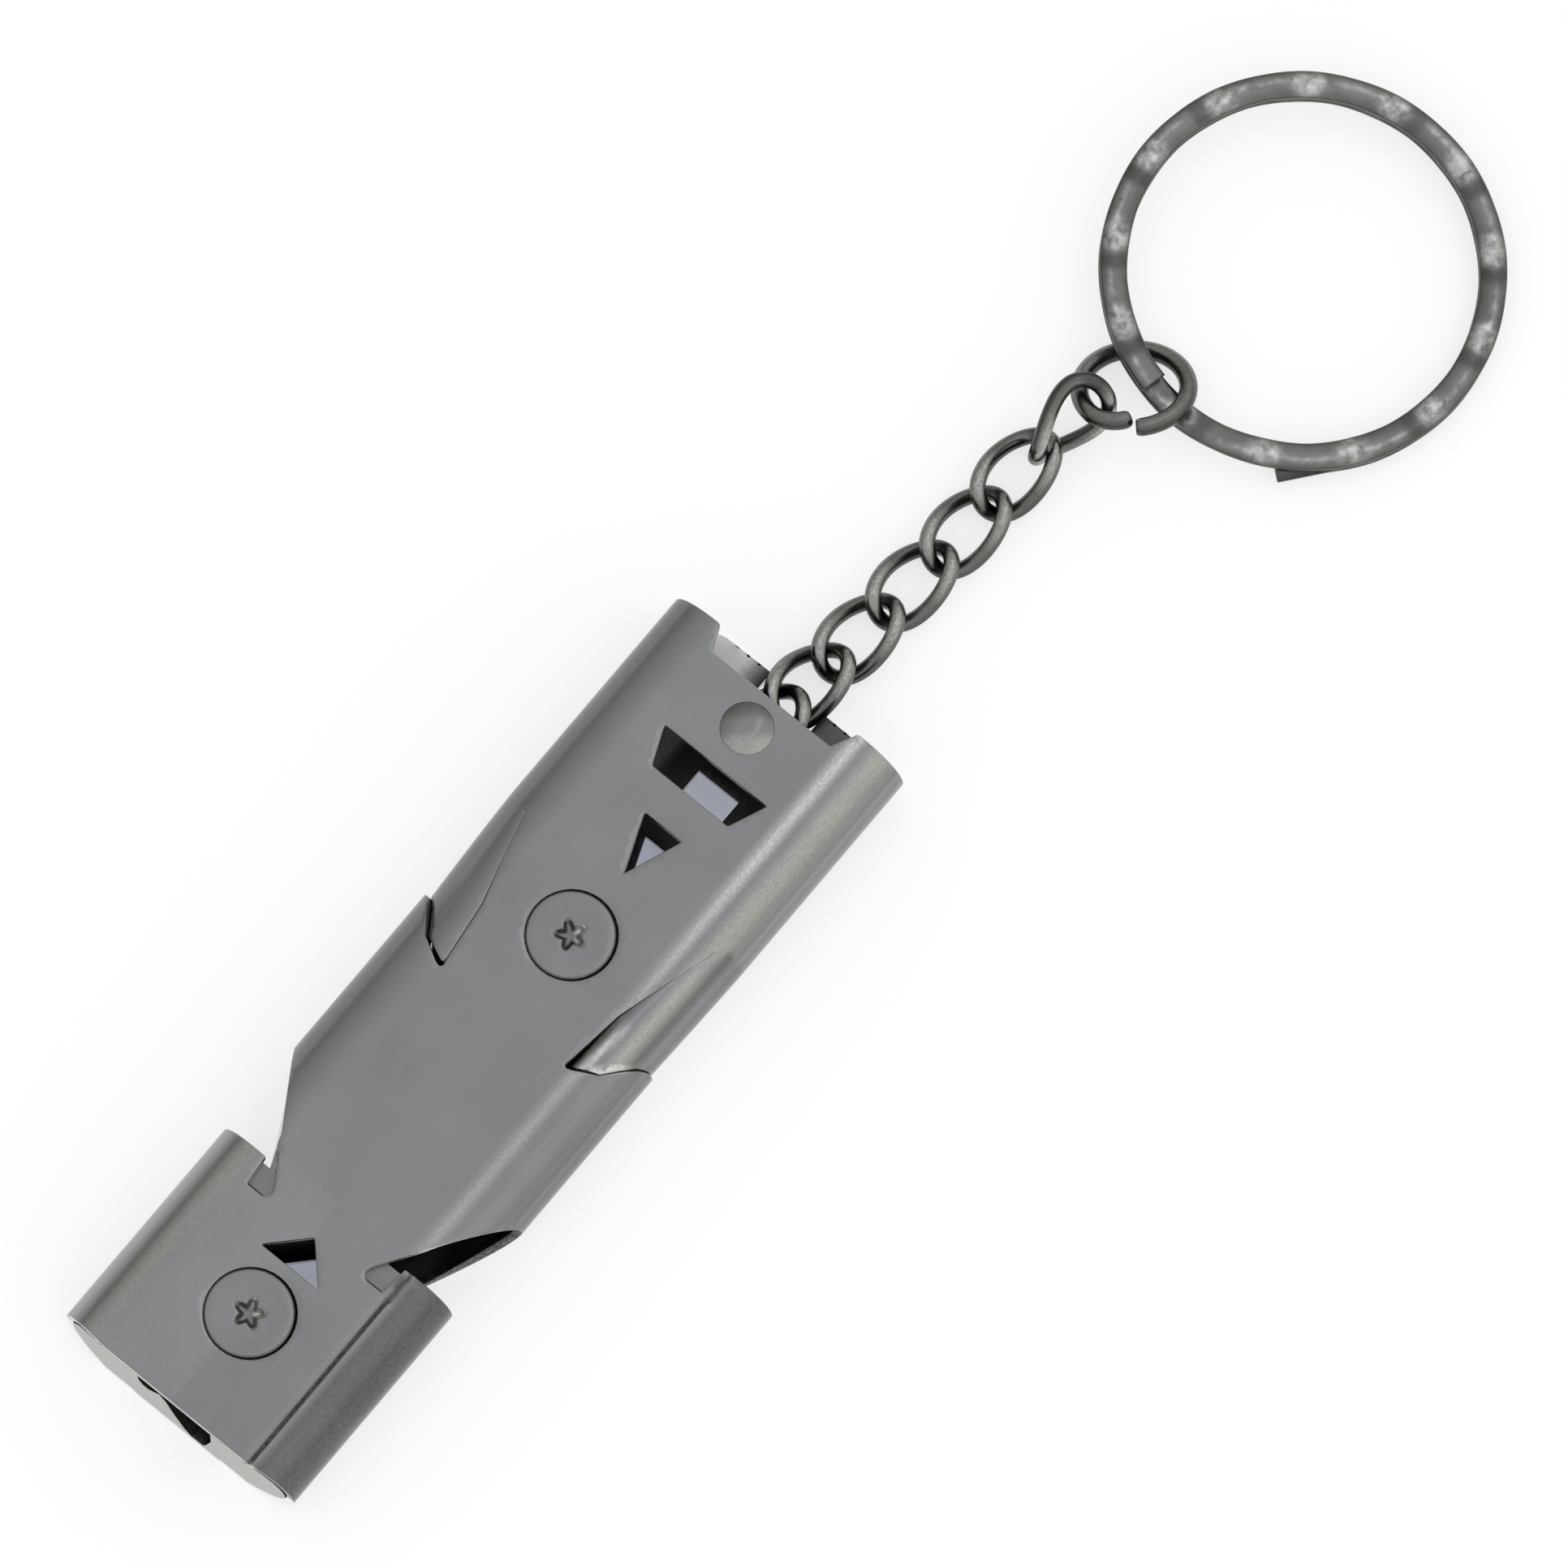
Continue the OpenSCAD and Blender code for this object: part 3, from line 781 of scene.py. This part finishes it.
def split_ring():
    """Flat wire in two turns: the upper turn steps down to the lower one, whose end is splayed."""
    steps, m = 720, 24
    high, wide, r0, pitch = 0.75, 1.75, 11.725, 0.82
    first, turn = 167.5, 676
    dent, first_dent = 27.3, 119.9
    square = 2.7

    def angle(i):
        return first - turn * i / steps

    path = []
    for i in range(steps + 1):
        t = angle(i)
        fall = rise(-148.5 - t, 0, 44)
        splay = max(0.0, (-490 - t) / 18.5)
        r = r0 + 0.7 * splay * splay
        path.append((r * math.cos(math.radians(t)), r * math.sin(math.radians(t)), high / 2 + pitch * (1 - fall)))

    def from_ridge(t):
        """Degrees from the nearest hammered ridge."""
        return (t - first_dent + dent / 2) % dent - dent / 2

    def shape(i):
        """Rounded oblong, a little wider and higher at the ridges."""
        c = 1 - abs(from_ridge(angle(i))) / (dent / 2)
        u = wide / 2 * (0.96 + 0.05 * c)
        v = high / 2
        out = []
        for j in range(m):
            a = 2 * math.pi * j / m
            x, y = math.cos(a), math.sin(a)
            k = (abs(x) ** square + abs(y) ** square) ** (-1 / square)
            out.append((u * k * x, v * k * y * (1.0 - 0.12 * (1 - c) * max(0.0, y))))
        return out

    # Rubbed bright spots at the hammered ridges and a painted highlight line along the band; painted shade after
    # each ridge, on the edges and at the end of the lower turn
    def wear_and_light(i, s, v):
        t = angle(i)
        left = -(RIGHT[0] * math.cos(math.radians(t)) + RIGHT[1] * math.sin(math.radians(t)))
        q = from_ridge(t) * (1 if left > 0 else -1)
        top, across = max(0.0, 2 * v / high), 2 * s / wide
        spot = 1 - rise(abs(q) + 2.0 * abs(across), 2.0, 8.0)
        line = math.exp(-((across - 0.3) / 0.22) ** 2) * rise(abs(q), 1.0, 5.0)
        dark = rise(q, 3.5, 6.0) * (1 - rise(q, 8.5, 12.0)) * min(1.0, 1.4 * abs(left))
        end = rise(-t, 488, 496)
        wear_and_sheen = top * (0.62 * spot + 0.42 * line * (1 - dark))
        return wear_and_sheen, max(0.5 * dark, 0.65 * abs(across) ** 5, 0.8 * end)

    obj = wire(path, shape, False, "split_ring_wire", RING, wear_and_light)
    tilt = math.degrees(math.asin(1.81 / 25.2))
    away, a = r0 + 1.13, math.radians(14.38)
    put(obj, (JUMP_AT[0] + away * math.cos(a), JUMP_AT[1] - away * math.sin(a), 0.93), (tilt, 0.358, 0))
    finish_piece(obj, "split_ring", "ring_steel", "split_ring")


split_ring()


# Floor, light and camera

def stage():
    """White floor that glows for the camera and in reflections, with a shaded patch under the tube."""
    mat, tree, shader = new_material("white floor")
    shader.inputs["Base Color"].default_value = (0.42, 0.42, 0.42, 1)
    shader.inputs["Roughness"].default_value = 0.9
    shader.inputs["Specular IOR Level"].default_value = 0.0
    split = add(tree, "ShaderNodeSeparateXYZ")
    tree.links.new(add(tree, "ShaderNodeTexCoord").outputs["Object"], split.inputs["Vector"])
    under = []
    for axis, start, end in (("X", 26.0, 27.5), ("Y", 3.2, 4.2)):
        size = add(tree, "ShaderNodeMath", operation="ABSOLUTE")
        tree.links.new(split.outputs[axis], size.inputs[0])
        under.append(span(tree, size.outputs["Value"], 1.0, 0.0, start * MM, end * MM))
    glow = mixed(tree, product(tree, *under), (0.985, 0.985, 1.0), (0.4, 0.42, 0.49))
    tree.links.new(glow, shader.inputs["Emission Color"])
    rays = add(tree, "ShaderNodeLightPath")
    seen = rays.outputs["Is Camera Ray"]
    for kind in ("Is Glossy Ray", "Is Transmission Ray"):
        both = add(tree, "ShaderNodeMath", operation="MAXIMUM")
        tree.links.new(seen, both.inputs[0])
        tree.links.new(rays.outputs[kind], both.inputs[1])
        seen = both.outputs["Value"]
    tree.links.new(span(tree, seen, 0.0, 0.68), shader.inputs["Emission Strength"])
    mesh = bpy.data.meshes.new("floor")
    w = 1.5
    mesh.from_pydata([(-w, -w, 0), (w, -w, 0), (w, w, 0), (-w, w, 0)], [], [(0, 1, 2, 3)])
    mesh.materials.append(mat)
    floor = bpy.data.objects.new("floor", mesh)
    floor.location.z = -0.02 * MM
    bpy.context.scene.collection.objects.link(floor)


stage()


def soft_light(name, at, to, size, power, colour):
    data = bpy.data.lights.new(name, "AREA")
    data.shape = "RECTANGLE"
    data.size, data.size_y = size
    data.energy = power
    data.color = colour
    obj = bpy.data.objects.new(name, data)
    obj.location = at
    obj.rotation_mode = "QUATERNION"
    obj.rotation_quaternion = (Vector(to) - Vector(at)).to_track_quat("-Z", "Y")
    bpy.context.scene.collection.objects.link(obj)


def light_up():
    """Bright sky, whiter on the part's right than on its left, and one strip light above."""
    world = bpy.data.worlds.new("studio")
    bpy.context.scene.world = world
    world.use_nodes = True
    tree = world.node_tree
    back = tree.nodes["Background"]
    way = add(tree, "ShaderNodeTexCoord").outputs["Generated"]
    split = add(tree, "ShaderNodeSeparateXYZ")
    tree.links.new(way, split.inputs["Vector"])
    sky = ramp(tree, split.outputs["Z"], [
        (0.0, (0.5, 0.5, 0.48)), (0.15, (0.62, 0.62, 0.6)), (0.4, (0.78, 0.78, 0.76)),
        (0.7, (0.84, 0.84, 0.83)), (1.0, (0.84, 0.85, 0.88))])
    across = ramp(tree, span(tree, split.outputs["Y"], 0.0, 1.0, -1.0, 1.0), [
        (0.0, (1.0, 1.0, 0.96)), (0.14, (0.98, 0.98, 0.95)), (0.28, (0.8, 0.8, 0.79)), (0.58, (0.8, 0.8, 0.8)),
        (0.77, (0.68, 0.67, 0.66)), (0.9, (0.6, 0.59, 0.57)), (1.0, (0.52, 0.51, 0.5))])
    tree.links.new(mixed(tree, 1.0, sky, across, "MULTIPLY"), back.inputs["Color"])
    back.inputs["Strength"].default_value = 1.25
    soft_light("crease strip", at=(0.75, -0.05, 0.98), to=(0.75, 0, 0), size=(1.2, 0.05), power=0.35,
        colour=(0.97, 0.96, 1.0))


light_up()


def camera():
    sensor, distance, view_width = 36, 1200, 95.99
    a, e = math.radians(-50.46), math.radians(76.5)
    data = bpy.data.cameras.new("camera")
    data.sensor_width = sensor
    data.lens = sensor * distance / view_width
    data.clip_start, data.clip_end = 0.05, 10
    obj = bpy.data.objects.new("camera", data)
    back = Vector((math.sin(a) * math.cos(e), -math.cos(a) * math.cos(e), math.sin(e)))
    obj.location = Vector((24.98, -2.88, 0)) * MM + back * (distance * MM)
    obj.rotation_mode = "QUATERNION"
    obj.rotation_quaternion = (-back).to_track_quat("-Z", "Y")
    bpy.context.scene.collection.objects.link(obj)
    bpy.context.scene.camera = obj


camera()
bpy.context.scene.view_settings.view_transform = "Standard"
